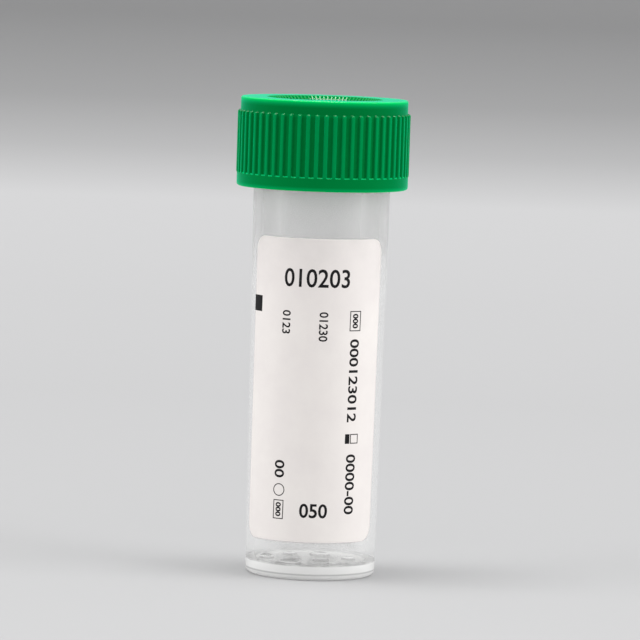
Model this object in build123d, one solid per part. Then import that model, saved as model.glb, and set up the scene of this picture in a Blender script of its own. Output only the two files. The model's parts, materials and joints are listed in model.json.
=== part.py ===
from build123d import *
import math
import os

# A 5 ml flat-based blood collection tube with a ribbed screw cap, a sealing liner inside the
# cap, a paper label and a few drops of liquid additive on the inner floor.
# Millimetres, +Z up. The origin is the centre of the base, on the surface that the tube stands
# on. The label faces -Y, and the cap is screwed tight.

# ---- tube -----------------------------------------------------------------------------------
tube_height = 54.6  # base to rim
base_radius = 7.77  # outside of the wall, projected down to the base plane
draft_angle = 0.5  # degrees, the wall opens towards the rim
tube_wall = 1.0
floor_thickness = 1.05  # above the recess under the base
foot_recess_depth = 0.5
foot_ring_width = 1.0
base_edge_round = 0.6
floor_edge_round = 0.6  # inside corner between floor and wall
rim_round = 0.3

# ---- neck and thread ------------------------------------------------------------------------
neck_length = 7.4  # shoulder to rim
neck_step = 0.15  # how far the neck steps in from the body wall
thread_pitch = 3.0  # single start, right-handed
thread_depth = 0.75
thread_root_width = 1.35
thread_crest_width = 0.65
tube_thread_turns = 1.5
cap_thread_turns = 1.25
thread_end_gap = 0.9  # from the shoulder up to the centre of the thread's lower end
thread_root_sink = 0.1  # how far a thread is buried in the wall that carries it
thread_clearance = 0.12  # radial, each crest to the other part's root, and between the flanks

# ---- sealing liner --------------------------------------------------------------------------
liner_thickness = 0.8
liner_edge_gap = 0.05  # radial, liner to cap thread crest
seal_gap = 0.02  # rim to liner
liner_back_gap = 0.03  # liner to the ceiling of the cap

# ---- cap ------------------------------------------------------------------------------------
cap_height = 10.67
cap_top_thickness = 1.67
cap_wall = 1.09  # from the bore to the bottom of the grooves
rib_count = 60
rib_turn = 1.1  # degrees, from the +X axis to the middle of a groove
rib_height = 0.34  # crest above the groove bottom
groove_width = 0.70  # at the crest
top_band_height = 1.6
bottom_band_height = 1.55
bottom_band_drop = 0.08  # how far the band lies inside the rib crests
cap_top_round = 0.2
cap_bottom_round = 0.3
rib_end_round = 0.28
recess_depth = 0.5
recess_rim_width = 3.11  # flat ring between the recess and the cap's edge
recess_corner_round = 0.3
gusset_count = 90  # small webs in the corner between the recess floor and its wall
gusset_share = 0.84  # of the recess depth: how far a gusset reaches in from the wall and up it
gusset_width = 0.24
gusset_sink = 0.05  # how far a gusset is buried in the wall and the floor

# ---- label ----------------------------------------------------------------------------------
label_width = 18.2  # around the tube
label_foot_gap = 4.6  # base plane to the label's lower edge
label_cap_gap = 5.65  # label's upper edge to the cap
label_thickness = 0.1
label_corner = 1.8

# ---- additive: drops on the inner floor -----------------------------------------------------
drop_rise = 0.42  # height of a drop as a share of its own radius
drop_wall_gap = 0.12  # from the rounding at the foot of the wall
# Each is (distance from the axis, azimuth in degrees, radius). The lengths are shares of the
# radius of the flat part of the floor, so the drops stay apart whatever the tube's size.
drops = [
    (0.825, 183, 0.165),
    (0.768, 243, 0.230),
    (0.924, 278, 0.066),
    (0.907, 288, 0.074),
    (0.858, 304, 0.124),
    (0.891, 321, 0.107),
    (0.759, 12, 0.148),
    (0.643, 74, 0.206),
    (0.726, 128, 0.157),
    (0.313, 205, 0.124),
    (0.264, 330, 0.173),
]

# ---- worked out from the values above ---------------------------------------------------------
draft_slope = math.tan(math.radians(draft_angle))
floor_z = foot_recess_depth + floor_thickness
shoulder_z = tube_height - neck_length
liner_bottom_z = tube_height + seal_gap
ceiling_z = liner_bottom_z + liner_thickness + liner_back_gap
cap_top_z = ceiling_z + cap_top_thickness
cap_bottom_z = cap_top_z - cap_height


def body_radius(z):
    """Outside radius of the drafted wall at a height."""
    return base_radius + draft_slope * z


def bore_radius(z):
    """Inside radius of the drafted wall at a height."""
    return body_radius(z) - tube_wall


neck_radius = body_radius(shoulder_z) - neck_step
thread_crest_radius = neck_radius + thread_depth
cap_bore_radius = thread_crest_radius + thread_clearance
cap_thread_radius = neck_radius + thread_clearance
groove_radius = cap_bore_radius + cap_wall
rib_radius = groove_radius + rib_height
bottom_band_radius = rib_radius - bottom_band_drop
recess_radius = groove_radius - recess_rim_width
liner_radius = cap_thread_radius - liner_edge_gap
thread_start_z = shoulder_z + thread_end_gap
flank_slope = (thread_root_width - thread_crest_width) / (2 * thread_depth)
thread_mid_width = (thread_root_width + thread_crest_width) / 2
# The cap's thread bears up against the underside of the tube's thread.
cap_thread_offset = thread_mid_width + thread_clearance


def ring_profile(points):
    """Face in the XZ plane through (radius, height) points, to be turned about Z."""
    return make_face(Polyline(*[(r, 0, z) for r, z in points], close=True)).face()


def round_corners(face, corners, radius):
    """Round the corners of an XZ face that lie at the given (radius, height) points."""
    chosen = [
        v
        for v in face.vertices()
        if any(abs(v.X - r) < 1e-4 and abs(v.Z - z) < 1e-4 for r, z in corners)
    ]
    return face.fillet_2d(radius, chosen)


def thread_ridge(root_radius, crest_radius, start_z, start_angle, turns):
    """Helical ridge on a wall: the root is buried in the wall, the crest stands out of it."""
    outward = 1 if crest_radius > root_radius else -1
    sunk_radius = root_radius - outward * thread_root_sink
    half_crest = thread_crest_width / 2
    half_root = thread_root_width / 2 + flank_slope * thread_root_sink
    helix = Helix(
        pitch=thread_pitch,
        height=thread_pitch * turns,
        radius=sunk_radius,
    )
    section = make_face(
        Polyline(
            (sunk_radius, 0, -half_root),
            (crest_radius, 0, -half_crest),
            (crest_radius, 0, half_crest),
            (sunk_radius, 0, half_root),
            close=True,
        )
    )
    ridge = sweep(section, path=helix, is_frenet=True)
    return Pos(0, 0, start_z) * Rot(0, 0, start_angle) * ridge


def make_tube():
    """Flat-based tube with a recess under the base, and a threaded neck."""
    foot_inner = body_radius(0) - foot_ring_width
    outline = ring_profile(
        [
            (0, foot_recess_depth),
            (foot_inner, foot_recess_depth),
            (foot_inner, 0),
            (body_radius(0), 0),
            (body_radius(shoulder_z), shoulder_z),
            (neck_radius, shoulder_z + neck_step),
            (neck_radius, tube_height),
            (bore_radius(tube_height), tube_height),
            (bore_radius(floor_z), floor_z),
            (0, floor_z),
        ]
    )
    outline = round_corners(outline, [(body_radius(0), 0)], base_edge_round)
    outline = round_corners(outline, [(bore_radius(floor_z), floor_z)], floor_edge_round)
    rim_corners = [(neck_radius, tube_height), (bore_radius(tube_height), tube_height)]
    outline = round_corners(outline, rim_corners, rim_round)
    body = revolve(outline, Axis.Z)
    ridge = thread_ridge(neck_radius, thread_crest_radius, thread_start_z, 0, tube_thread_turns)
    return body + ridge


def make_screw_cap():
    """Cap with ribbed skirt, inside thread, and a recess with a ring of gussets in the top."""
    rib_top_z = cap_top_z - top_band_height
    rib_bottom_z = cap_bottom_z + bottom_band_height
    recess_floor_z = cap_top_z - recess_depth
    outline = ring_profile(
        [
            (0, ceiling_z),
            (cap_bore_radius, ceiling_z),
            (cap_bore_radius, cap_bottom_z),
            (bottom_band_radius, cap_bottom_z),
            (bottom_band_radius, rib_bottom_z),
            (rib_radius, rib_bottom_z),
            (rib_radius, rib_top_z),
            (groove_radius, rib_top_z),
            (groove_radius, cap_top_z),
            (recess_radius, cap_top_z),
            (recess_radius, recess_floor_z),
            (0, recess_floor_z),
        ]
    )
    outline = round_corners(outline, [(bottom_band_radius, cap_bottom_z)], cap_bottom_round)
    outline = round_corners(outline, [(rib_radius, rib_top_z)], min(rib_end_round, rib_height * 0.9))
    outline = round_corners(outline, [(groove_radius, cap_top_z)], cap_top_round)
    recess_corner = [(recess_radius, recess_floor_z)]
    outline = round_corners(outline, recess_corner, recess_corner_round)
    cap = revolve(outline, Axis.Z)

    groove_depth_radius = ((groove_width / 2) ** 2 + rib_height**2) / (2 * rib_height)
    groove = extrude(Circle(groove_depth_radius), rib_top_z - rib_bottom_z + rib_height)
    groove_place = Pos(groove_radius + groove_depth_radius, 0, rib_bottom_z)
    turns = [rib_turn + 360 * i / rib_count for i in range(rib_count)]
    cap -= [Rot(0, 0, turn) * groove_place * groove for turn in turns]

    gusset_reach = gusset_share * recess_depth
    gusset_side = ring_profile(
        [
            (recess_radius - gusset_reach - gusset_sink, recess_floor_z - gusset_sink),
            (recess_radius + gusset_sink, recess_floor_z - gusset_sink),
            (recess_radius + gusset_sink, recess_floor_z + gusset_reach + gusset_sink),
        ]
    )
    gusset = extrude(gusset_side, gusset_width / 2, both=True)
    cap += [Rot(0, 0, 360 * i / gusset_count) * gusset for i in range(gusset_count)]

    lowest_centre = cap_bottom_z + thread_root_width
    climb = lowest_centre - (thread_start_z - cap_thread_offset)
    start_angle = 360 * climb / thread_pitch
    return cap + thread_ridge(
        cap_bore_radius, cap_thread_radius, lowest_centre, start_angle, cap_thread_turns
    )


def make_cap_liner():
    """Flat sealing disc that lies against the ceiling of the cap, over the tube's rim."""
    disc = Pos(0, 0, liner_bottom_z) * extrude(Circle(liner_radius), liner_thickness)
    return fillet(disc.edges().filter_by(GeomType.CIRCLE), liner_thickness * 0.2)


def label_corner_cutter(side, end):
    """Sharp corner outside a radial rounding: side and end say which way the corner points."""
    size = label_corner + label_thickness
    reach = 4 * body_radius(tube_height)
    block = Pos(0, side * (size / 2 - label_corner), end * (size / 2 - label_corner)) * Box(
        reach, size, size
    )
    rounding = Pos(0, -side * label_corner, -end * label_corner) * Rot(0, 90, 0)
    return Pos(reach / 2, 0, 0) * (block - rounding * Cylinder(label_corner, reach))


def make_label():
    """Paper label wrapped part of the way round the drafted wall, with rounded corners."""
    bottom_z = label_foot_gap
    top_z = cap_bottom_z - label_cap_gap
    section = ring_profile(
        [
            (body_radius(bottom_z), bottom_z),
            (body_radius(bottom_z) + label_thickness, bottom_z),
            (body_radius(top_z) + label_thickness, top_z),
            (body_radius(top_z), top_z),
        ]
    )
    half_angle = math.degrees(label_width / body_radius((bottom_z + top_z) / 2)) / 2
    band = Rot(0, 0, -90 - half_angle) * revolve(section, Axis.Z, 2 * half_angle)
    for side in (-1, 1):
        for end, z in ((-1, bottom_z), (1, top_z)):
            cutter = label_corner_cutter(side, end)
            band -= Pos(0, 0, z) * Rot(0, 0, -90 + side * half_angle) * cutter
    return band


def make_additive_drops():
    """Flat drops of liquid that rest on the inner floor, apart from each other."""
    floor_radius = bore_radius(floor_z) - floor_edge_round - drop_wall_gap
    shapes = []
    for reach_share, azimuth, radius_share in drops:
        radius = radius_share * floor_radius
        rise = radius * drop_rise
        ball_radius = (radius**2 + rise**2) / (2 * rise)
        ball = Pos(0, 0, rise - ball_radius) * Sphere(ball_radius)
        cap_box = Pos(0, 0, rise / 2) * Box(2 * ball_radius, 2 * ball_radius, rise)
        drop = ball & cap_box
        shapes.append(Rot(0, 0, azimuth) * Pos(reach_share * floor_radius, 0, floor_z) * drop)
    return shapes


os.makedirs("parts", exist_ok=True)
export_step(make_tube(), "parts/tube.step")
export_step(make_screw_cap(), "parts/screw_cap.step")
export_step(make_cap_liner(), "parts/cap_liner.step")
export_step(make_label(), "parts/label.step")
export_step(Compound(children=make_additive_drops()), "parts/additive_drops.step")
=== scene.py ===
import json
import math
import random

import bmesh
import bpy
import numpy as np
from mathutils import Matrix, Vector


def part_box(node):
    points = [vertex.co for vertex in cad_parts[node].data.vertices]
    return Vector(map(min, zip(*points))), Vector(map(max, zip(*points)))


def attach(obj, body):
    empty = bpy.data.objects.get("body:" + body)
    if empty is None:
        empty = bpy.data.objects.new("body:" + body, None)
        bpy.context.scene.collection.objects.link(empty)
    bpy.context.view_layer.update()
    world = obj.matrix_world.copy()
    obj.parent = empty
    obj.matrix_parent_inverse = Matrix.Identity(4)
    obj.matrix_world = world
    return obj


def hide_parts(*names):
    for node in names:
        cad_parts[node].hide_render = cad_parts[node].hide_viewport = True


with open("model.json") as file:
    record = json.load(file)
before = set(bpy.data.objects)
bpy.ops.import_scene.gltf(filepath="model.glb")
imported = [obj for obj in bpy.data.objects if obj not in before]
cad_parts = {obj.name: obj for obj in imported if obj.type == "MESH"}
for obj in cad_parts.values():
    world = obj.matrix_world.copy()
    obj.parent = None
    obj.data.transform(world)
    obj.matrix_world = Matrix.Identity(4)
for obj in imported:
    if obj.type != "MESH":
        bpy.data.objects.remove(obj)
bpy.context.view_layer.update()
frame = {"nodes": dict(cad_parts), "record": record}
MM = 0.001

# ---- sizes read from the frame, in metres -------------------------------------------------------
_, tube_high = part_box("tube")
cap_low, cap_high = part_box("screw_cap")
label_low, label_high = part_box("label")
drops_low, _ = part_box("additive_drops")
coupling = frame["record"]["behaviour"]["couplings"][0]
THREAD_PITCH = coupling["ratio"] * 2 * math.pi
RIM_Z = tube_high.z
FLOOR_Z = drops_low.z
NECK_CREST_R = min(tube_high.x, tube_high.y)
CAP_BOTTOM_Z, CAP_TOP_Z = cap_low.z, cap_high.z

# ---- sizes that the frame's boxes don't give ----------------------------------------------------
# tube
DRAFT = math.tan(math.radians(0.5))
BASE_R = 7.77 * MM
WALL = 1.0 * MM
FOOT_RECESS = 0.5 * MM
FOOT_RING_WIDTH = 1.0 * MM
BASE_EDGE_ROUND = 0.6 * MM
FLOOR_EDGE_ROUND = 0.6 * MM
RIM_ROUND = 0.3 * MM
NECK_LENGTH = 7.4 * MM
NECK_STEP = 0.15 * MM
SHOULDER_Z = RIM_Z - NECK_LENGTH

# threads
THREAD_DEPTH = 0.75 * MM
THREAD_ROOT = 1.35 * MM
THREAD_CREST = 0.65 * MM
THREAD_GAP = 0.12 * MM
THREAD_FADE = math.radians(22)  # turn over which a ridge rises at its ends
TUBE_THREAD_TURNS, CAP_THREAD_TURNS = 1.5, 1.25
TUBE_THREAD_Z = SHOULDER_Z + 0.9 * MM  # middle of the neck's ridge at its lower end
CAP_THREAD_Z = CAP_BOTTOM_Z + THREAD_ROOT
NECK_R = NECK_CREST_R - THREAD_DEPTH
CAP_BORE_R = NECK_CREST_R + THREAD_GAP

# cap
CAP_WALL = 1.09 * MM
CAP_TOP_THICKNESS = 1.67 * MM
CAP_BOTTOM_ROUND = 0.3 * MM
CAP_TOP_ROUND = 0.2 * MM
CAP_CEILING_Z = CAP_TOP_Z - CAP_TOP_THICKNESS
TOP_BAND = 1.6 * MM
BOTTOM_BAND = 1.55 * MM
BOTTOM_BAND_DROP = 0.08 * MM  # how far the band lies inside the rib crests
RIB_COUNT = 60
RIB_TURN = math.radians(1.1)  # direction of the middle of one groove
RIB_HEIGHT = 0.34 * MM
GROOVE_R = CAP_BORE_R + CAP_WALL
RIB_R = GROOVE_R + RIB_HEIGHT
RIB_TOP_Z = CAP_TOP_Z - TOP_BAND
RIB_BOTTOM_Z = CAP_BOTTOM_Z + BOTTOM_BAND
RIB_CREST_HALF = 0.19 * MM
RIB_FOOT_HALF = 0.27 * MM
RIB_CROWN_R = 1.2 * MM
RIB_END_ROUND = 0.26 * MM
RIB_FOOT = 0.15 * MM  # height over which the crests rise from the bottom band
# Columns of the mesh on one side of a rib: distance from its middle, groove middle left out.
RIB_COLUMNS = tuple(x * MM for x in (0.0, 0.12, 0.185, 0.23, 0.275, 0.38))
SHELF_SLOPE = 1.9  # of the shelf at the foot of a groove
BOTTOM_BAND_R = RIB_R - BOTTOM_BAND_DROP
RECESS_RIM_WIDTH = 3.11 * MM  # flat ring between the recess and the cap's edge
RECESS_R = GROOVE_R - RECESS_RIM_WIDTH
RECESS_DEPTH = 0.5 * MM
RECESS_Z = CAP_TOP_Z - RECESS_DEPTH
RECESS_LIP = 0.08 * MM
RECESS_ROUND = 0.3 * MM
GUSSET_COUNT = 90
GUSSET_REACH = 0.42 * MM

# label
LABEL_WIDTH = 18.2 * MM
LABEL_CORNER = 1.8 * MM
LABEL_THICKNESS = 0.1 * MM
LABEL_MIDDLE_Z = (label_low.z + label_high.z) / 2
LABEL_SKEW = 0.0128  # the label sits a little askew: across for each unit of height

# ---- looks --------------------------------------------------------------------------------------
# The tube's plastic: how much its thin wall and its thick places hide what is behind them, and
# the heights between which the wall takes on the look of the neck.
WALL_ALPHA, THICK_ALPHA = 0.25, 0.72
NECK_LOOK = (31 * MM, 42 * MM)

# The foot: how light its plastic is at each height in mm, with painted light on the lowest rim,
# painted shade where the recess under the base lies behind the ring and painted shade where the
# floor meets the wall; and where its floor and the wetted wall above the floor stop showing.
FLOOR_TOP_LOOK, WET_LOOK, WET_TOP = 1.7 * MM, 2.0 * MM, 3.0 * MM
FOOT_PAINTED_SHADES = (
    (0.25, 1.0), (0.45, 0.84), (0.6, 0.76), (0.68, 0.5), (0.78, 0.5), (0.88, 0.86),
    (1.65, 0.9), (1.76, 0.82), (2.2, 0.87), (3.0, 0.89),
)

# Painted light in the cap's colour, standing in for how its crests, bands and edges catch the
# lamps, as a share of the way along GREENS. Each edge is (radius, height, width of the painted
# glow, painted glow).
BAND_PAINTED_LIGHT = 0.13
RIB_PAINTED_LIGHT = (0.15, 0.31)  # bottom of a groove, crest
RIB_PAINTED_LIGHT_ENDS = 0.1 * MM
# painted light along the cap's lower edge
LOWER_EDGE_PAINTED_LIGHT, LOWER_EDGE_WIDTH = 0.72, 0.65 * MM
# painted highlight on the top edge, painted glow on the recess wall, painted highlight on the shelf
# at the foot of each groove
EDGE_PAINTED_LIGHTS = (
    (GROOVE_R, CAP_TOP_Z, 0.84 * MM, 0.92),
    (RECESS_R, CAP_TOP_Z - 0.5 * RECESS_DEPTH, 0.6 * MM, 0.7),
    ((GROOVE_R + BOTTOM_BAND_R) / 2, RIB_BOTTOM_Z + 0.08 * MM, 0.2 * MM, 1.1),
)
# Greens from the plastic's own colour at the low end to painted light towards the high end.
GREENS = (
    (0.03, (0.0, 0.145, 0.028)),
    (0.22, (0.0, 0.190, 0.039)),
    (0.34, (0.0, 0.222, 0.055)),
    (0.5, (0.0, 0.29, 0.068)),
    (0.625, (0.0, 0.367, 0.072)),
    (0.75, (0.0, 0.48, 0.09)),
    (0.875, (0.0, 0.67, 0.17)),
    (1.0, (0.0, 0.87, 0.38)),
)

# Shades of the label's paper, and the heights between which a painted shade from the cap darkens
# it.
PAPERS = (
    (0.0, (0.682, 0.645, 0.628)),
    (0.3, (0.735, 0.694, 0.676)),
    (0.7, (0.782, 0.745, 0.718)),
)
LABEL_PAINTED_SHADE = (31 * MM, 41 * MM)

# The liquid over the rise below, from the floor up, as shares of that height: how light it is, with
# painted shade in dark bands round each dome, and where a band painted white as a painted glint
# begins and ends.
DROP_BANDS_RISE = 0.7 * MM
LIQUID_PAINTED_SHADES = ((0.1, 1.0), (0.28, 0.55), (0.36, 0.97), (0.6, 1.0), (0.78, 0.4), (0.95, 0.4))
GLINT_BAND_START, GLINT_BAND_END = (0.42, 0.46), (0.56, 0.6)
CLEAR, GLINT_BAND_CLEAR = 0.75, 0.1  # share of the light that goes through

# The studio paper's greys, as shares of BACKDROP_DEPTH behind the tube, with painted light and
# shade
# in them: a touch lighter right at the tube, lightest in a band some 0.7 m back and darker beyond.
BACKDROP_DEPTH = 3.0
BACKDROP_GREYS_AND_PAINTED_LIGHT = (
    (0.0, 0.45), (0.012, 0.438), (0.067, 0.449), (0.13, 0.496),
    (0.24, 0.60), (0.33, 0.50), (0.47, 0.43), (0.88, 0.41),
)


def body_radius(z):
    """Outside radius of the tube's drafted wall at a height."""
    return BASE_R + DRAFT * z


def bore_radius(z):
    """Inside radius of the wall at a height."""
    return body_radius(z) - WALL


# ---- mesh helpers -------------------------------------------------------------------------------
def add_object(name, mesh):
    piece = bpy.data.objects.new(name, mesh)
    bpy.context.scene.collection.objects.link(piece)
    return piece


def smooth(mesh):
    mesh.polygons.foreach_set("use_smooth", [True] * len(mesh.polygons))


def lathe(name, rows, first_pole, last_pole):
    """Closed surface through rings of points, from one pole on the axis to the other. Each row is
    an array of (x, y, z), and may have a whole number of times as many points as the next one."""
    points, faces, starts = [], [], []
    for row in rows:
        starts.append(len(points))
        points.extend(map(tuple, row))
    for i in range(len(rows) - 1):
        here, there = len(rows[i]), len(rows[i + 1])
        a, b = starts[i], starts[i + 1]
        if here == there:
            for j in range(here):
                k = (j + 1) % here
                faces.append((a + j, a + k, b + k, b + j))
        else:
            step = here // there
            for j in range(there):
                middle = j * step + step // 2
                for k in range(step):
                    p, q = j * step + k, (j * step + k + 1) % here
                    apex = b + (j if j * step + k < middle else (j + 1) % there)
                    faces.append((a + p, a + q, apex))
                faces.append((a + middle, b + (j + 1) % there, b + j))
    for pole, row, start, flip in (
        (first_pole, rows[0], starts[0], True),
        (last_pole, rows[-1], starts[-1], False),
    ):
        tip, count = len(points), len(row)
        points.append(tuple(pole))
        for j in range(count):
            k = (j + 1) % count
            faces.append((start + k, start + j, tip) if flip else (start + j, start + k, tip))
    mesh = bpy.data.meshes.new(name)
    mesh.from_pydata(points, [], faces)
    smooth(mesh)
    return add_object(name, mesh)


def arc(centre, radius, start, end, steps):
    """Points of a round corner in a (radius, height) profile. Angles in degrees."""
    angles = np.radians(np.linspace(start, end, steps + 1))
    return [(centre[0] + radius * math.cos(a), centre[1] + radius * math.sin(a)) for a in angles]


def straight(a, b, steps):
    """Points from a to b, without b itself."""
    return [tuple(np.add(a, np.subtract(b, a) * i / steps)) for i in range(steps)]


def even_turns(count):
    """Angles all the way round, in radians."""
    return np.arange(count) * 2 * math.pi / count


def ring(radius, z, turns):
    """One row of a lathe at the given angles. Radius and height may be one number or one for
    each angle."""
    r, height = np.broadcast_to(radius, turns.shape), np.broadcast_to(z, turns.shape)
    return np.stack([r * np.cos(turns), r * np.sin(turns), height], 1)


def smoothstep(x):
    x = np.clip(x, 0, 1)
    return x * x * (3 - 2 * x)


def thread_rise(turns, z, start_z, start_turn, laps):
    """How far a helical ridge stands out at angles turns (radians) and one height z."""
    top = np.zeros_like(turns)
    for lap in range(-1, int(laps) + 2):
        along = turns - start_turn + 2 * math.pi * lap
        centre = start_z + THREAD_PITCH * along / (2 * math.pi)
        flank = (THREAD_ROOT / 2 - np.abs(z - centre)) / ((THREAD_ROOT - THREAD_CREST) / 2)
        ends = np.minimum(along, 2 * math.pi * laps - along) / THREAD_FADE
        top = np.maximum(top, smoothstep(flank) * smoothstep(ends))
    return THREAD_DEPTH * top


# ---- node helpers -------------------------------------------------------------------------------
def new_material(name):
    material = bpy.data.materials.new(name)
    material.use_nodes = True
    tree = material.node_tree
    return material, tree, tree.nodes["Principled BSDF"]


def node(tree, kind, **values):
    """A shader node. Lower-case names are settings; others are input sockets."""
    made = tree.nodes.new(kind)
    for key, value in values.items():
        if key.islower():
            setattr(made, key, value)
        else:
            made.inputs[key.replace("_", " ")].default_value = value
    return made


def own_place(tree):
    """Place in the object's own metres, and its parts X, Y and Z."""
    place = node(tree, "ShaderNodeTexCoord").outputs["Object"]
    split = node(tree, "ShaderNodeSeparateXYZ")
    tree.links.new(place, split.inputs["Vector"])
    return place, split.outputs


def noise(tree, scale, detail=2.0, roughness=0.5, stretch=None):
    """Noise in the object's own metres, stretched by a scale on each axis."""
    place = node(tree, "ShaderNodeTexCoord").outputs["Object"]
    texture = node(tree, "ShaderNodeTexNoise", Scale=scale, Detail=detail, Roughness=roughness)
    if stretch is not None:
        squeeze = node(tree, "ShaderNodeMapping", Scale=stretch)
        tree.links.new(place, squeeze.inputs["Vector"])
        place = squeeze.outputs["Vector"]
    tree.links.new(place, texture.inputs["Vector"])
    return texture.outputs["Fac"]


def ramp(tree, source, stops):
    """Colour ramp from (position, colour) stops."""
    made = node(tree, "ShaderNodeValToRGB")
    elements = made.color_ramp.elements
    while len(elements) < len(stops):
        elements.new(0.5)
    for element, (position, colour) in zip(elements, stops):
        element.position = position
        element.color = (*colour, 1)
    tree.links.new(source, made.inputs["Fac"])
    return made.outputs["Color"]


def grey_ramp(tree, source, stops, blue=1.0):
    """Colour ramp from (position, grey) stops, with the blue scaled."""
    return ramp(tree, source, [(at, (grey, grey, grey * blue)) for at, grey in stops])


def fade(tree, source, near, far, start, end, ease="LINEAR"):
    """Value that goes from start to end while the source goes from near to far, and stays."""
    made = node(tree, "ShaderNodeMapRange", interpolation_type=ease)
    for name, value in (("From Min", near), ("From Max", far), ("To Min", start), ("To Max", end)):
        made.inputs[name].default_value = value
    tree.links.new(source, made.inputs["Value"])
    return made.outputs["Result"]


def combine(tree, operation, a, b):
    """Maths node on two values."""
    made = node(tree, "ShaderNodeMath", operation=operation)
    tree.links.new(a, made.inputs[0])
    tree.links.new(b, made.inputs[1])
    return made.outputs["Value"]


def gloss(tree, shader, cloud, low, high):
    """Roughness that wanders between low and high with a noise."""
    tree.links.new(fade(tree, cloud, 0, 1, low, high), shader.inputs["Roughness"])


def grain(tree, shader, height, strength, depth):
    """Fine relief of a surface. Depth in metres."""
    made = node(tree, "ShaderNodeBump", Strength=strength, Distance=depth)
    tree.links.new(height, made.inputs["Height"])
    tree.links.new(made.outputs["Normal"], shader.inputs["Normal"])


# ---- materials ----------------------------------------------------------------------------------
def frosted_plastic(name):
    """Satin plastic of the tube, still without a colour."""
    material, tree, shader = new_material(name)
    shader.inputs["IOR"].default_value = 1.49
    grain(tree, shader, noise(tree, 5200, 2), 0.08, 0.02 * MM)
    return material, tree, shader


def wall_plastic():
    """Thin frosted wall that the background and the liquid show through. Towards the neck it is
    denser, and bends what is behind it."""
    material, tree, shader = frosted_plastic("frosted_wall")
    _, place = own_place(tree)
    for socket, body, neck in (
        ("Alpha", WALL_ALPHA, THICK_ALPHA),
        ("Transmission Weight", 0.0, 0.7),
    ):
        look = fade(tree, place["Z"], *NECK_LOOK, body, neck, "SMOOTHERSTEP")
        tree.links.new(look, shader.inputs[socket])
    cloud = noise(tree, 160, 3, 0.6, (1, 1, 0.35))
    colour = ramp(tree, cloud, [(0.3, (0.86, 0.86, 0.855)), (0.7, (0.91, 0.91, 0.905))])
    tree.links.new(colour, shader.inputs["Base Color"])
    gloss(tree, shader, cloud, 0.12, 0.2)
    return material


def foot_plastic():
    """Thick floor and foot, and the wall just above the floor, darker there in patches. Its colour
    carries painted light on the lowest rim, and painted shade where the recess under the base
    lies behind the ring and where the floor meets the wall."""
    material, tree, shader = frosted_plastic("frosted_foot")
    _, place = own_place(tree)
    cloud = noise(tree, 900, 3, 0.6)
    patches = noise(tree, 520, 4, 0.65, (1, 1, 1.6))
    height = combine(tree, "ADD", place["Z"], fade(tree, cloud, 0, 1, 0.0, 0.06 * MM))
    rising = fade(tree, height, 0.1 * MM, 0.6 * MM, 0.4, THICK_ALPHA)
    thinning = fade(tree, height, FLOOR_TOP_LOOK, WET_LOOK, THICK_ALPHA, WALL_ALPHA)
    tree.links.new(combine(tree, "MINIMUM", rising, thinning), shader.inputs["Alpha"])
    level = fade(tree, height, 0, WET_TOP, 0.0, 1.0)
    # painted light on the lowest rim, painted shade where the recess lies behind the ring and where
    # the floor meets the wall
    shades = [(at * MM / WET_TOP, grey) for at, grey in FOOT_PAINTED_SHADES]
    # darker in patches on the wall just above the floor
    dark_patches = fade(tree, patches, 0.42, 0.56, 0.62, 1.0)
    patch_zone = fade(tree, height, FLOOR_TOP_LOOK, FLOOR_TOP_LOOK + 0.1 * MM, 0.0, 1.0)
    shade = node(tree, "ShaderNodeMix", data_type="RGBA", blend_type="MULTIPLY")
    tree.links.new(patch_zone, shade.inputs["Factor"])
    tree.links.new(grey_ramp(tree, level, shades, 0.99), shade.inputs[6])  # A, as a colour
    tree.links.new(dark_patches, shade.inputs[7])  # B, as a colour
    tree.links.new(shade.outputs[2], shader.inputs["Base Color"])
    gloss(tree, shader, cloud, 0.12, 0.2)
    return material


def cap_painted_light(tree, place, height):
    """How much painted light the cap's colour carries at a place, as a share of the way along
    GREENS.
    """
    flat = node(tree, "ShaderNodeVectorMath", operation="MULTIPLY")
    flat.inputs[1].default_value = (1, 1, 0)
    tree.links.new(place, flat.inputs[0])
    reach = node(tree, "ShaderNodeVectorMath", operation="LENGTH")
    tree.links.new(flat.outputs["Vector"], reach.inputs[0])
    radius = reach.outputs["Value"]
    section = node(tree, "ShaderNodeCombineXYZ")
    tree.links.new(radius, section.inputs["X"])
    tree.links.new(height, section.inputs["Z"])

    # painted light on the bands, and on the rib crests and groove floors between the rib ends
    band = fade(tree, radius, GROOVE_R, RIB_R, 0.0, BAND_PAINTED_LIGHT)
    above = fade(tree, height, RIB_BOTTOM_Z, RIB_BOTTOM_Z + RIB_PAINTED_LIGHT_ENDS, 0.0, 1.0)
    below = fade(tree, height, RIB_TOP_Z - RIB_PAINTED_LIGHT_ENDS, RIB_TOP_Z, 1.0, 0.0)
    rib = fade(tree, radius, GROOVE_R, RIB_R, *RIB_PAINTED_LIGHT)
    rib = combine(tree, "MULTIPLY", combine(tree, "MINIMUM", above, below), rib)
    painted_light = combine(tree, "MAXIMUM", band, rib)
    # painted light along the lower edge
    edge_top = CAP_BOTTOM_Z + LOWER_EDGE_WIDTH
    lower_edge = fade(tree, height, CAP_BOTTOM_Z, edge_top, LOWER_EDGE_PAINTED_LIGHT, 0.0)
    painted_light = combine(tree, "MAXIMUM", painted_light, lower_edge)
    # painted highlight on the top edge and the groove shelves, painted glow on the recess wall
    for edge_r, edge_z, width, painted_glow in EDGE_PAINTED_LIGHTS:
        away = node(tree, "ShaderNodeVectorMath", operation="DISTANCE")
        away.inputs[1].default_value = (edge_r, 0, edge_z)
        tree.links.new(section.outputs["Vector"], away.inputs[0])
        near = fade(tree, away.outputs["Value"], 0, width, painted_glow, 0.0)
        painted_light = combine(tree, "MAXIMUM", painted_light, near)
    return painted_light


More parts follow.
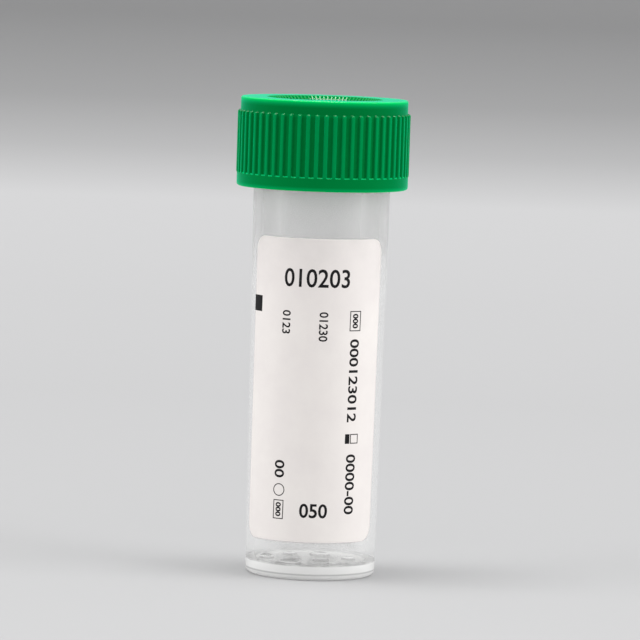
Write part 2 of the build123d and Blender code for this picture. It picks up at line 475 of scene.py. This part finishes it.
def green_plastic():
    """Opaque green, with painted light in its colour on the rib crests, groove floors, bands and
    edges. Faces that slope up are polished, and the flat top less so."""
    material, tree, shader = new_material("green_plastic")
    place, parts = own_place(tree)
    cloud = noise(tree, 220, 3, 0.6)
    painted_light = cap_painted_light(tree, place, parts["Z"])
    # real mottle added to the painted light
    mottle_and_painted_light = combine(tree, "ADD", painted_light, fade(tree, cloud, 0, 1, 0.0, 0.06))
    tree.links.new(ramp(tree, mottle_and_painted_light, GREENS), shader.inputs["Base Color"])
    shader.inputs["Specular IOR Level"].default_value = 0.006
    shader.inputs["Specular Tint"].default_value = (0.1, 1.0, 0.6, 1)
    shader.inputs["Sheen Weight"].default_value = 0.68
    shader.inputs["Sheen Roughness"].default_value = 0.4
    shader.inputs["Sheen Tint"].default_value = (0.0, 1.0, 0.54, 1)
    facing = node(tree, "ShaderNodeSeparateXYZ")
    tree.links.new(node(tree, "ShaderNodeTexCoord").outputs["Normal"], facing.inputs["Vector"])
    sloping = fade(tree, facing.outputs["Z"], 0.4, 0.65, 0.0, 1.0)
    level = fade(tree, facing.outputs["Z"], 0.9, 0.98, 1.0, 0.3)
    tree.links.new(combine(tree, "MINIMUM", sloping, level), shader.inputs["Coat Weight"])
    shader.inputs["Coat Roughness"].default_value = 0.1
    gloss(tree, shader, cloud, 0.19, 0.26)
    grain(tree, shader, noise(tree, 6500, 2), 0.06, 0.02 * MM)
    return material


def label_paper():
    """Coated paper, faintly mottled, with a painted shade from the cap darkening its upper end."""
    material, tree, shader = new_material("label_paper")
    _, place = own_place(tree)
    cloud = noise(tree, 190, 4, 0.6)
    # painted shade from the cap over the label's upper end
    painted_cap_shade = fade(tree, place["Z"], *LABEL_PAINTED_SHADE, 0.0, -0.4)
    colour = ramp(tree, combine(tree, "ADD", cloud, painted_cap_shade), PAPERS)
    tree.links.new(colour, shader.inputs["Base Color"])
    shader.inputs["Specular IOR Level"].default_value = 0.35
    gloss(tree, shader, cloud, 0.5, 0.62)
    grain(tree, shader, noise(tree, 7000, 3, 0.6), 0.12, 0.02 * MM)
    return material


def print_ink():
    """Black ink, slightly uneven."""
    material, tree, shader = new_material("print_ink")
    cloud = noise(tree, 4200, 2)
    colour = ramp(tree, cloud, [(0.3, (0.003, 0.003, 0.004)), (0.8, (0.013, 0.013, 0.014))])
    tree.links.new(colour, shader.inputs["Base Color"])
    shader.inputs["Specular IOR Level"].default_value = 0.12
    gloss(tree, shader, cloud, 0.42, 0.6)
    return material


def liner_rubber():
    """Matt off-white seal."""
    material, tree, shader = new_material("liner_elastomer")
    cloud = noise(tree, 600, 3)
    colour = ramp(tree, cloud, [(0.3, (0.6, 0.6, 0.57)), (0.7, (0.68, 0.68, 0.65))])
    tree.links.new(colour, shader.inputs["Base Color"])
    gloss(tree, shader, cloud, 0.55, 0.7)
    grain(tree, shader, noise(tree, 5000, 2), 0.1, 0.03 * MM)
    return material


def clear_liquid():
    """Clear liquid with painted shade in bands round each drop's dome, and one band painted white
    and less clear as a painted glint.
    """
    material, tree, shader = new_material("additive_liquid")
    shader.inputs["IOR"].default_value = 1.34
    _, place = own_place(tree)
    cloud = noise(tree, 900, 2)
    height = combine(tree, "ADD", place["Z"], fade(tree, cloud, 0, 1, 0.0, 0.08 * MM))
    level = fade(tree, height, FLOOR_Z, FLOOR_Z + DROP_BANDS_RISE, 0.0, 1.0)
    # painted glint: a white band that lets little light through
    into_glint_band = fade(tree, level, *GLINT_BAND_START, CLEAR, GLINT_BAND_CLEAR)
    out_of_glint_band = fade(tree, level, *GLINT_BAND_END, GLINT_BAND_CLEAR, CLEAR)
    clear = combine(tree, "MAXIMUM", into_glint_band, out_of_glint_band)
    tree.links.new(clear, shader.inputs["Transmission Weight"])
    # painted shade in bands, white in the painted glint band
    tree.links.new(grey_ramp(tree, level, LIQUID_PAINTED_SHADES), shader.inputs["Base Color"])
    gloss(tree, shader, cloud, 0.02, 0.07)
    return material


# ---- tube ---------------------------------------------------------------------------------------
def tube_outside():
    """Outline under the base and up the wall to the foot of the neck, as (radius, height)."""
    soft = 0.15 * MM  # rounding on both edges of the ring that the tube stands on
    inner_r, recess, edge = body_radius(0) - FOOT_RING_WIDTH, FOOT_RECESS, BASE_EDGE_ROUND
    floor, wet_top = (body_radius(FLOOR_Z), FLOOR_Z), (body_radius(WET_TOP), WET_TOP)
    shoulder = (body_radius(SHOULDER_Z), SHOULDER_Z)
    outline = [(inner_r * share, recess) for share in (0.25, 0.5, 0.75, 0.9)]
    outline += arc((inner_r - soft, recess - soft), soft, 90, 0, 4)
    outline += arc((inner_r + soft, soft), soft, 180, 270, 4)
    outline += arc((body_radius(0) - edge, edge), edge, -90, 0, 8)
    outline += straight((body_radius(edge), edge * 1.3), floor, 2)
    outline += straight(floor, wet_top, 4)
    outline += straight(wet_top, shoulder, 48)
    outline += straight(shoulder, (NECK_R, SHOULDER_Z + NECK_STEP), 3)
    return outline


def tube_inside():
    """Outline over the rim and down the bore to its floor, as (radius, height)."""
    rim, corner = RIM_ROUND, FLOOR_EDGE_ROUND
    top_r, floor_r = bore_radius(RIM_Z), bore_radius(FLOOR_Z)
    wet_top = (bore_radius(WET_TOP), WET_TOP)
    outline = arc((NECK_R - rim, RIM_Z - rim), rim, 0, 90, 6)
    outline += arc((top_r + rim, RIM_Z - rim), rim, 90, 180, 6)
    outline += straight((top_r, RIM_Z - rim * 1.2), wet_top, 48)
    outline += straight(wet_top, (floor_r, FLOOR_Z + corner), 4)
    outline += arc((floor_r - corner, FLOOR_Z + corner), corner, 0, -90, 10)
    outline += [(floor_r * share, FLOOR_Z) for share in (0.8, 0.6, 0.4, 0.2)]
    return outline


def make_tube(wall, foot):
    turns = even_turns(192)
    neck_step = 0.06 * MM  # between the rows of the threaded neck
    rows = [ring(r, z, turns) for r, z in tube_outside()]
    for z in np.arange(SHOULDER_Z + NECK_STEP, RIM_Z - RIM_ROUND, neck_step):
        rise = thread_rise(turns, z, TUBE_THREAD_Z, 0, TUBE_THREAD_TURNS)
        rows.append(ring(NECK_R + rise, z, turns))
    rows += [ring(r, z, turns) for r, z in tube_inside()]
    piece = lathe("tube_shell", rows, (0, 0, FOOT_RECESS), (0, 0, FLOOR_Z))
    piece.data.materials.append(wall)
    piece.data.materials.append(foot)
    for face in piece.data.polygons:
        face.material_index = int(face.center.z < WET_TOP)
    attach(piece, "tube")
    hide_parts("tube")


# ---- screw cap ----------------------------------------------------------------------------------
def rib_turns():
    """Angles of the cap's columns, gathered at the edges of the ribs."""
    half = math.pi * RIB_R / RIB_COUNT
    one_rib = [-half, *(-x for x in reversed(RIB_COLUMNS[1:])), *RIB_COLUMNS]
    middles = RIB_TURN + (np.arange(RIB_COUNT) + 0.5) * 2 * math.pi / RIB_COUNT
    return (middles[:, None] + np.array(one_rib) / RIB_R).ravel()


def rib_radius(turns, z):
    """Radius of the ribbed skirt at angles turns (radians) and one height. The grooves have flat
    floors and steep sides, run out at the top band and end on a sloping shelf at the bottom."""
    step = 2 * math.pi / RIB_COUNT
    across = ((turns - RIB_TURN) / step % 1 - 0.5) * step * RIB_R
    side = smoothstep((np.abs(across) - RIB_CREST_HALF) / (RIB_FOOT_HALF - RIB_CREST_HALF))
    crest = RIB_R - across**2 / (2 * RIB_CROWN_R)
    low_blend = float(smoothstep((z - RIB_BOTTOM_Z) / RIB_FOOT))
    crest = BOTTOM_BAND_R + (crest - BOTTOM_BAND_R) * low_blend
    surface = crest + (GROOVE_R - crest) * side
    rib_end = RIB_TOP_Z - RIB_END_ROUND
    if z > rib_end:
        span = (across / RIB_END_ROUND) ** 2 * 0.8 + ((z - rib_end) / RIB_END_ROUND) ** 2
        surface = np.minimum(surface, GROOVE_R + RIB_HEIGHT * np.sqrt(np.maximum(1 - span, 0)))
    shelf = BOTTOM_BAND_R - SHELF_SLOPE * (z - RIB_BOTTOM_Z)
    return np.maximum(np.maximum(surface, GROOVE_R), shelf)


def cap_inside():
    """Rows from the middle of the ceiling out, down the threaded bore and across the lower rim."""
    turns = RIB_TURN + even_turns(180)
    row_step = 0.07 * MM
    flank_offset = (THREAD_ROOT + THREAD_CREST) / 2 + THREAD_GAP
    thread_drop = CAP_THREAD_Z - (TUBE_THREAD_Z - flank_offset)
    start_turn = 2 * math.pi * thread_drop / THREAD_PITCH
    rows = [ring(CAP_BORE_R * share, CAP_CEILING_Z, turns) for share in (0.3, 0.6, 0.9, 1.0)]
    for z in np.arange(CAP_CEILING_Z - 0.02 * MM, CAP_BOTTOM_Z + 0.25 * MM, -row_step):
        rise = thread_rise(turns, z, CAP_THREAD_Z, start_turn, CAP_THREAD_TURNS)
        rows.append(ring(CAP_BORE_R - rise, z, turns))
    rows.append(ring(CAP_BORE_R + 0.05 * MM, CAP_BOTTOM_Z + 0.06 * MM, turns))
    rows.append(ring(CAP_BORE_R + 0.12 * MM, CAP_BOTTOM_Z, turns))
    rows.append(ring((CAP_BORE_R + BOTTOM_BAND_R) / 2, CAP_BOTTOM_Z, turns))
    return rows


def cap_skirt():
    """Rows up the outside: lower edge, band, ribs, top band and top edge."""
    turns = rib_turns()
    lower, upper = CAP_BOTTOM_ROUND, CAP_TOP_ROUND
    fine = 0.03 * MM  # between the rows where the ribs begin and end
    rows = []
    for r, z in arc((BOTTOM_BAND_R - lower, CAP_BOTTOM_Z + lower), lower, -90, 0, 6):
        rows.append(ring(r, z, turns))
    for z in np.linspace(CAP_BOTTOM_Z + lower, RIB_BOTTOM_Z - fine, 5)[1:]:
        rows.append(ring(BOTTOM_BAND_R, z, turns))
    rib_feet = np.arange(RIB_BOTTOM_Z, RIB_BOTTOM_Z + 0.36 * MM, fine)
    rib_runs = np.linspace(rib_feet[-1], RIB_TOP_Z - 0.32 * MM, 9)[1:]
    rib_heads = np.arange(RIB_TOP_Z - 0.29 * MM, RIB_TOP_Z + 0.02 * MM, fine)
    for z in (*rib_feet, *rib_runs, *rib_heads):
        rows.append(ring(rib_radius(turns, z), z, turns))
    for z in np.linspace(RIB_TOP_Z + 0.1 * MM, CAP_TOP_Z - upper, 4):
        rows.append(ring(GROOVE_R, z, turns))
    for r, z in arc((GROOVE_R - upper, CAP_TOP_Z - upper), upper, 0, 90, 6)[1:]:
        rows.append(ring(r, z, turns))
    return rows


def cap_top(columns):
    """Rows over the flat top ring and down into the recess, with small gussets in its corner."""
    turns = RIB_TURN + even_turns(columns)
    lip, reach = RECESS_LIP, GUSSET_REACH
    rows = []
    for r in np.linspace(GROOVE_R - CAP_TOP_ROUND, RECESS_R + lip, 5)[1:]:
        rows.append(ring(r, CAP_TOP_Z, turns))
    for r, z in arc((RECESS_R + lip, CAP_TOP_Z - lip), lip, 90, 180, 3)[1:-1]:
        rows.append(ring(r, z, turns))
    corner_middle = (RECESS_R - RECESS_ROUND, RECESS_Z + RECESS_ROUND)
    corner = [(RECESS_R, RECESS_Z + reach)]
    corner += arc(corner_middle, RECESS_ROUND, 0, -90, 5)
    corner += [(RECESS_R - reach, RECESS_Z)]
    on_gusset = np.arange(columns) % (columns // GUSSET_COUNT) < 3  # each three columns wide
    for i, (r, z) in enumerate(corner):
        share = i / (len(corner) - 1)
        web_r, web_z = RECESS_R - reach * share, RECESS_Z + reach * (1 - share)
        rows.append(ring(np.where(on_gusset, web_r, r), np.where(on_gusset, web_z, z), turns))
    for share in (0.9, 0.7, 0.45, 0.2):
        rows.append(ring(RECESS_R * share, RECESS_Z, turns))
    return rows


def make_cap(material):
    """One closed surface, from the recess out and down the skirt, then up inside to the ceiling."""
    skirt = cap_skirt()
    outside = skirt + cap_top(len(skirt[0]))
    rows = outside[::-1] + cap_inside()[::-1]
    piece = lathe("cap_shell", rows, (0, 0, RECESS_Z), (0, 0, CAP_CEILING_Z))
    piece.data.flip_normals()
    above_floor = RECESS_Z + 0.001 * MM
    for face in piece.data.polygons:
        middle = face.center
        in_corner = middle.xy.length <= RECESS_R and above_floor < middle.z < CAP_TOP_Z
        face.use_smooth = not in_corner
    piece.data.materials.append(material)
    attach(piece, "cap")
    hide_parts("screw_cap")


# ---- label and its print ------------------------------------------------------------------------
def on_label(across, z, lift):
    """Point on the label: distance around the tube from its middle, height, height off the wall."""
    turn = (across + LABEL_SKEW * (z - LABEL_MIDDLE_Z)) / body_radius(z)
    r = body_radius(z) + lift
    return (r * math.sin(turn), -r * math.cos(turn), z)


def label_spans():
    """Heights down the label, each with the half width there. The corners are round."""
    half, corner = LABEL_WIDTH / 2, LABEL_CORNER
    angles = np.radians(range(0, 91, 10))
    bend = [(corner * (1 - math.cos(a)), corner * (1 - math.sin(a))) for a in angles]
    straight_heights = np.linspace(label_high.z - corner, label_low.z + corner, 22)[1:-1]
    spans = [(label_high.z - drop, half - inset) for drop, inset in bend]
    spans += [(z, half) for z in straight_heights]
    spans += [(label_low.z + drop, half - inset) for drop, inset in reversed(bend)]
    return spans


def make_label(material):
    """Rounded sheet of paper, closed, with softened edges."""
    spans = label_spans()
    columns = 64
    skin = 0.012 * MM  # between the wall and the back of the sheet
    soft = 0.03 * MM
    front, back = [], []
    for i, (z, reach) in enumerate(spans):
        for j in range(columns + 1):
            across = reach * (2 * j / columns - 1)
            edge = i in (0, len(spans) - 1) or j in (0, columns)
            front.append(on_label(across, z, LABEL_THICKNESS - (soft if edge else 0)))
            back.append(on_label(across, z, skin))
    width, rows = columns + 1, len(spans)
    base = len(front)
    faces = []
    for i in range(rows - 1):
        for j in range(columns):
            a, b = i * width + j, (i + 1) * width + j
            faces.append((a, b, b + 1, a + 1))
            faces.append((base + a, base + a + 1, base + b + 1, base + b))
    border = list(range(width))
    border += [i * width + columns for i in range(1, rows)]
    border += [(rows - 1) * width + j for j in range(columns - 1, -1, -1)]
    border += [i * width for i in range(rows - 2, 0, -1)]
    for a, b in zip(border, border[1:] + border[:1]):
        faces.append((a, b, base + b, base + a))
    mesh = bpy.data.meshes.new("label_sheet")
    mesh.from_pydata(front + back, [], faces)
    smooth(mesh)
    piece = add_object("label_sheet", mesh)
    piece.data.materials.append(material)
    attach(piece, "tube")
    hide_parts("label")


def flat_text(words, height, weight, length):
    """Filled outline of plain digits, centred, of a given height and length. Weight thickens
    the strokes."""
    curve = bpy.data.curves.new("digits", "FONT")
    curve.body = words
    curve.offset = weight
    curve.resolution_u = 4
    holder = bpy.data.objects.new("digits", curve)
    mesh = bpy.data.meshes.new_from_object(holder)
    bpy.data.objects.remove(holder)
    points = np.array([v.co[:2] for v in mesh.vertices])
    low, high = points.min(0), points.max(0)
    scale = np.array([length, height]) / (high - low)
    for v, p in zip(mesh.vertices, (points - (low + high) / 2) * scale):
        v.co = (*p, 0)
    return mesh


def box_outline(width, height):
    w, h = width / 2, height / 2
    return [(-w, -h), (w, -h), (w, h), (-w, h)]


def circle_outline(radius):
    return [(radius * math.cos(t), radius * math.sin(t)) for t in even_turns(40)]


def band_mark(outer, inner):
    """Flat band between two outlines with as many points each."""
    count = len(outer)
    mesh = bpy.data.meshes.new("band")
    faces = [(i, (i + 1) % count, count + (i + 1) % count, count + i) for i in range(count)]
    mesh.from_pydata([(*p, 0) for p in outer + inner], [], faces)
    return mesh


def frame_mark(width, height, line):
    return band_mark(box_outline(width, height), box_outline(width - 2 * line, height - 2 * line))


def ring_mark(diameter, line):
    return band_mark(circle_outline(diameter / 2), circle_outline(diameter / 2 - line))


def solid_mark(width, height):
    mesh = bpy.data.meshes.new("patch")
    mesh.from_pydata([(*p, 0) for p in box_outline(width, height)], [], [(0, 1, 2, 3)])
    return mesh


def print_on_label(name, flat, across, z, quarter_turns, material):
    """Wraps a flat mark round the label as a fine closed layer of ink."""
    made = bmesh.new()
    made.from_mesh(flat)
    bpy.data.meshes.remove(flat)
    bmesh.ops.remove_doubles(made, verts=made.verts, dist=0.002 * MM)
    made.transform(Matrix.Rotation(-quarter_turns * math.pi / 2, 4, "Z"))
    made.transform(Matrix.Translation((across, z, 0)))
    for v in made.verts:
        v.co.x = min(max(v.co.x, -LABEL_WIDTH / 2), LABEL_WIDTH / 2)
    xs = [v.co.x for v in made.verts]
    cut = 0.25 * MM  # between upright cuts, so that the mark can bend
    for i in range(math.ceil(min(xs) / cut), math.floor(max(xs) / cut) + 1):
        everything = made.verts[:] + made.edges[:] + made.faces[:]
        bmesh.ops.bisect_plane(
            made, geom=everything, dist=1e-8, plane_co=(i * cut, 0, 0), plane_no=(1, 0, 0)
        )
    bmesh.ops.dissolve_degenerate(made, dist=0.001 * MM, edges=made.edges)
    top = LABEL_THICKNESS + 0.006 * MM
    sunk = LABEL_THICKNESS - 0.01 * MM
    whole = bmesh.ops.extrude_face_region(made, geom=made.faces[:], use_keep_orig=True)
    raised = {e for e in whole["geom"] if isinstance(e, bmesh.types.BMVert)}
    for v in made.verts:
        v.co = on_label(v.co.x, v.co.y, top if v in raised else sunk)
    bmesh.ops.recalc_face_normals(made, faces=made.faces)
    mesh = bpy.data.meshes.new(name)
    made.to_mesh(mesh)
    made.free()
    piece = add_object(name, mesh)
    piece.data.materials.append(material)
    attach(piece, "tube")


def make_print(ink):
    """Plain digits, boxes and marks. Those with a quarter turn read from top to bottom."""
    heading, bold, medium, light, tiny = 0.012, 0.021, 0.019, 0.017, 0.035  # weights of strokes
    line = 0.105 * MM
    # name, digits, place across the label, height on the tube, quarter turns, length and height
    # of the digits (all in mm), weight
    digits = (
        ("print_heading", "010203", -0.02, 36.12, 0, 7.95, 2.2, heading),
        ("print_field_1", "0123", -3.54, 30.8, 1, 2.8, 1.05, light),
        ("print_field_2", "01230", 0.96, 30.4, 1, 3.5, 1.05, light),
        ("print_box_number", "000", 4.93, 31.1, 1, 1.75, 0.75, tiny),
        ("print_code", "000123012", 4.95, 24.0, 1, 9.9, 1.25, bold),
        ("print_pair", "0000-00", 5.1, 11.6, 1, 7.2, 1.3, medium),
        ("print_small_number", "00", -3.65, 13.25, 1, 2.1, 1.3, medium),
        ("print_low_box_number", "000", -3.6, 8.4, 1, 1.7, 0.7, tiny),
        ("print_size", "050", 0.71, 8.42, 0, 3.3, 1.72, medium),
    )
    for name, words, across, z, quarter_turns, length, height, weight in digits:
        flat = flat_text(words, height * MM, weight, length * MM)
        print_on_label(name, flat, across * MM, z * MM, quarter_turns, ink)
    # name, mark, place across the label and height on the tube in mm
    marks = (
        ("print_box", frame_mark(1.5 * MM, 2.4 * MM, line), 4.93, 31.1),
        ("print_low_box", frame_mark(1.35 * MM, 2.3 * MM, line), -3.6, 8.4),
        ("print_ring", ring_mark(1.5 * MM, line), -3.62, 10.75),
        ("print_half_frame", frame_mark(1.1 * MM, 1.15 * MM, line), 5.44, 17.05),
        ("print_half_block", solid_mark(0.6 * MM, 1.15 * MM), 4.5, 17.05),
        ("print_edge_mark", solid_mark(1.9 * MM, 1.9 * MM), -8.37, 32.7),
    )
    for name, flat, across, z in marks:
        print_on_label(name, flat, across * MM, z * MM, 0, ink)


# ---- liquid additive ----------------------------------------------------------------------------
def make_drops(material):
    """Uneven drops on the inner floor, each closed, as one piece."""
    chance = random.Random(7)
    # distance from the axis in mm, azimuth in degrees, radius and height in mm
    drops = (
        (5.3, 183, 0.95, 0.62),
        (5.0, 243, 1.35, 0.62),
        (5.6, 278, 0.42, 0.30),
        (5.5, 288, 0.45, 0.28),
        (5.3, 303, 0.75, 0.35),
        (5.4, 321, 0.62, 0.30),
        (4.6, 12, 0.90, 0.40),
        (3.9, 74, 1.25, 0.45),
        (4.4, 128, 0.95, 0.40),
        (1.9, 205, 0.75, 0.30),
        (1.6, 330, 1.05, 0.35),
    )
    unevenness = 0.18  # of the outline: the largest share of the radius in its first wave
    lift = 0.004 * MM  # off the floor, so that the two surfaces don't lie in one plane
    around, rings = 48, 12
    points, faces = [], []
    for reach, azimuth, radius, height in drops:
        a = math.radians(azimuth)
        centre = Vector((reach * math.cos(a), reach * math.sin(a))) * MM
        waves = []
        for k in (2, 3, 4, 5):
            size = chance.uniform(-unevenness / 2, unevenness / 2) * 2 / k
            waves.append((k, size, chance.uniform(0, 6.28)))
        start = len(points)
        points.append((centre.x, centre.y, FLOOR_Z + height * MM))
        for i in range(1, rings + 1):
            share = math.sin(math.pi / 2 * i / rings)
            z = FLOOR_Z + height * MM * math.sqrt(max(0.0, 1 - share**2)) + lift
            for t in even_turns(around):
                r = radius * MM * share * (1 + sum(s * math.cos(k * t + p) for k, s, p in waves))
                points.append((centre.x + r * math.cos(t), centre.y + r * math.sin(t), z))
        for j in range(around):
            k = (j + 1) % around
            faces.append((start, start + 1 + j, start + 1 + k))
            for i in range(rings - 1):
                p, q = start + 1 + i * around, start + 1 + (i + 1) * around
                faces.append((p + j, q + j, q + k, p + k))
        last = start + 1 + (rings - 1) * around
        faces.append(tuple(last + j for j in reversed(range(around))))
    mesh = bpy.data.meshes.new("liquid_drops")
    mesh.from_pydata(points, [], faces)
    smooth(mesh)
    piece = add_object("liquid_drops", mesh)
    piece.data.materials.append(material)
    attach(piece, "tube")
    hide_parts("additive_drops")


# ---- studio -------------------------------------------------------------------------------------
def studio_paper():
    """Matt paper whose grey changes with the distance behind the tube, as painted light and shade.
    """
    material, tree, shader = new_material("studio_paper")
    _, place = own_place(tree)
    depth = fade(tree, place["Y"], 0.0, BACKDROP_DEPTH, 0.0, 1.0)
    # painted light and shade by distance behind the tube
    tree.links.new(grey_ramp(tree, depth, BACKDROP_GREYS_AND_PAINTED_LIGHT, 1.01), shader.inputs["Base Color"])
    shader.inputs["Roughness"].default_value = 0.85
    shader.inputs["Specular IOR Level"].default_value = 0.1
    return material


def make_backdrop(material):
    """Floor that runs back and curves up, as one sheet."""
    half_width, bend_r, top = 3.0, 1.0, 3.0
    profile = [(y, 0.0) for y in (-1.2, -0.3, 0.3, 1.0, 2.0, BACKDROP_DEPTH)]
    for a in np.radians(range(10, 91, 10)):
        profile.append((BACKDROP_DEPTH + bend_r * math.sin(a), bend_r * (1 - math.cos(a))))
    profile.append((BACKDROP_DEPTH + bend_r, top))
    points = [(x, y, z) for y, z in profile for x in (-half_width, half_width)]
    faces = [(2 * i, 2 * i + 1, 2 * i + 3, 2 * i + 2) for i in range(len(profile) - 1)]
    mesh = bpy.data.meshes.new("studio_floor")
    mesh.from_pydata(points, [], faces)
    smooth(mesh)
    sheet = add_object("studio_floor", mesh)
    sheet.data.materials.append(material)


def soft_light(name, place, target, width, height, power):
    data = bpy.data.lights.new(name, "AREA")
    data.shape = "RECTANGLE"
    data.size, data.size_y = width, height
    data.energy = power
    lamp = bpy.data.objects.new(name, data)
    lamp.location = place
    lamp.rotation_euler = (Vector(target) - Vector(place)).to_track_quat("-Z", "Y").to_euler()
    bpy.context.scene.collection.objects.link(lamp)


def make_lights():
    """A soft box on each side, one overhead and a bright room. The overhead box is aimed straight
    down but for a little along Y, which keeps its long side across the view."""
    middle = (0, 0, 0.03)
    soft_light("left_box", (-0.90, -0.25, 0.42), middle, 0.72, 0.90, 5.1)
    soft_light("right_box", (0.90, -0.22, 0.42), middle, 0.72, 0.90, 6.7)
    soft_light("top_box", (-0.12, 0.02, 1.30), (-0.12, 0, 0.03), 0.90, 0.27, 6.6)
    world = bpy.data.worlds.new("studio")
    world.use_nodes = True
    room = world.node_tree.nodes["Background"]
    room.inputs["Color"].default_value = (1.0, 1.0, 1.0, 1)
    room.inputs["Strength"].default_value = 0.83
    bpy.context.scene.world = world


def make_camera():
    """Long lens, slightly above the tube and leaning a little, as a hand-held studio shot."""
    distance, height = 0.550, 0.0787
    pitch, roll, yaw, around = (math.radians(v) for v in (5.008, 1.851, 0.028, 2.57))
    data = bpy.data.cameras.new("camera")
    data.sensor_width = 36
    data.lens = 259
    data.clip_start, data.clip_end = 0.01, 20
    camera = bpy.data.objects.new("camera", data)
    orbit = Matrix.Rotation(around, 4, "Z")
    aim = Matrix.Rotation(-yaw, 4, "Z") @ Matrix.Rotation(math.pi / 2 - pitch, 4, "X")
    camera.matrix_world = (
        orbit @ Matrix.Translation((0, -distance, height)) @ aim @ Matrix.Rotation(roll, 4, "Z")
    )
    bpy.context.scene.collection.objects.link(camera)
    bpy.context.scene.camera = camera


# ---- the scene ----------------------------------------------------------------------------------
make_backdrop(studio_paper())
make_lights()
make_camera()
make_tube(wall_plastic(), foot_plastic())
make_cap(green_plastic())
make_label(label_paper())
make_print(print_ink())
make_drops(clear_liquid())
liner = frame["nodes"]["cap_liner"]
liner.data.materials.clear()
liner.data.materials.append(liner_rubber())

bpy.context.scene.view_settings.view_transform = "Standard"
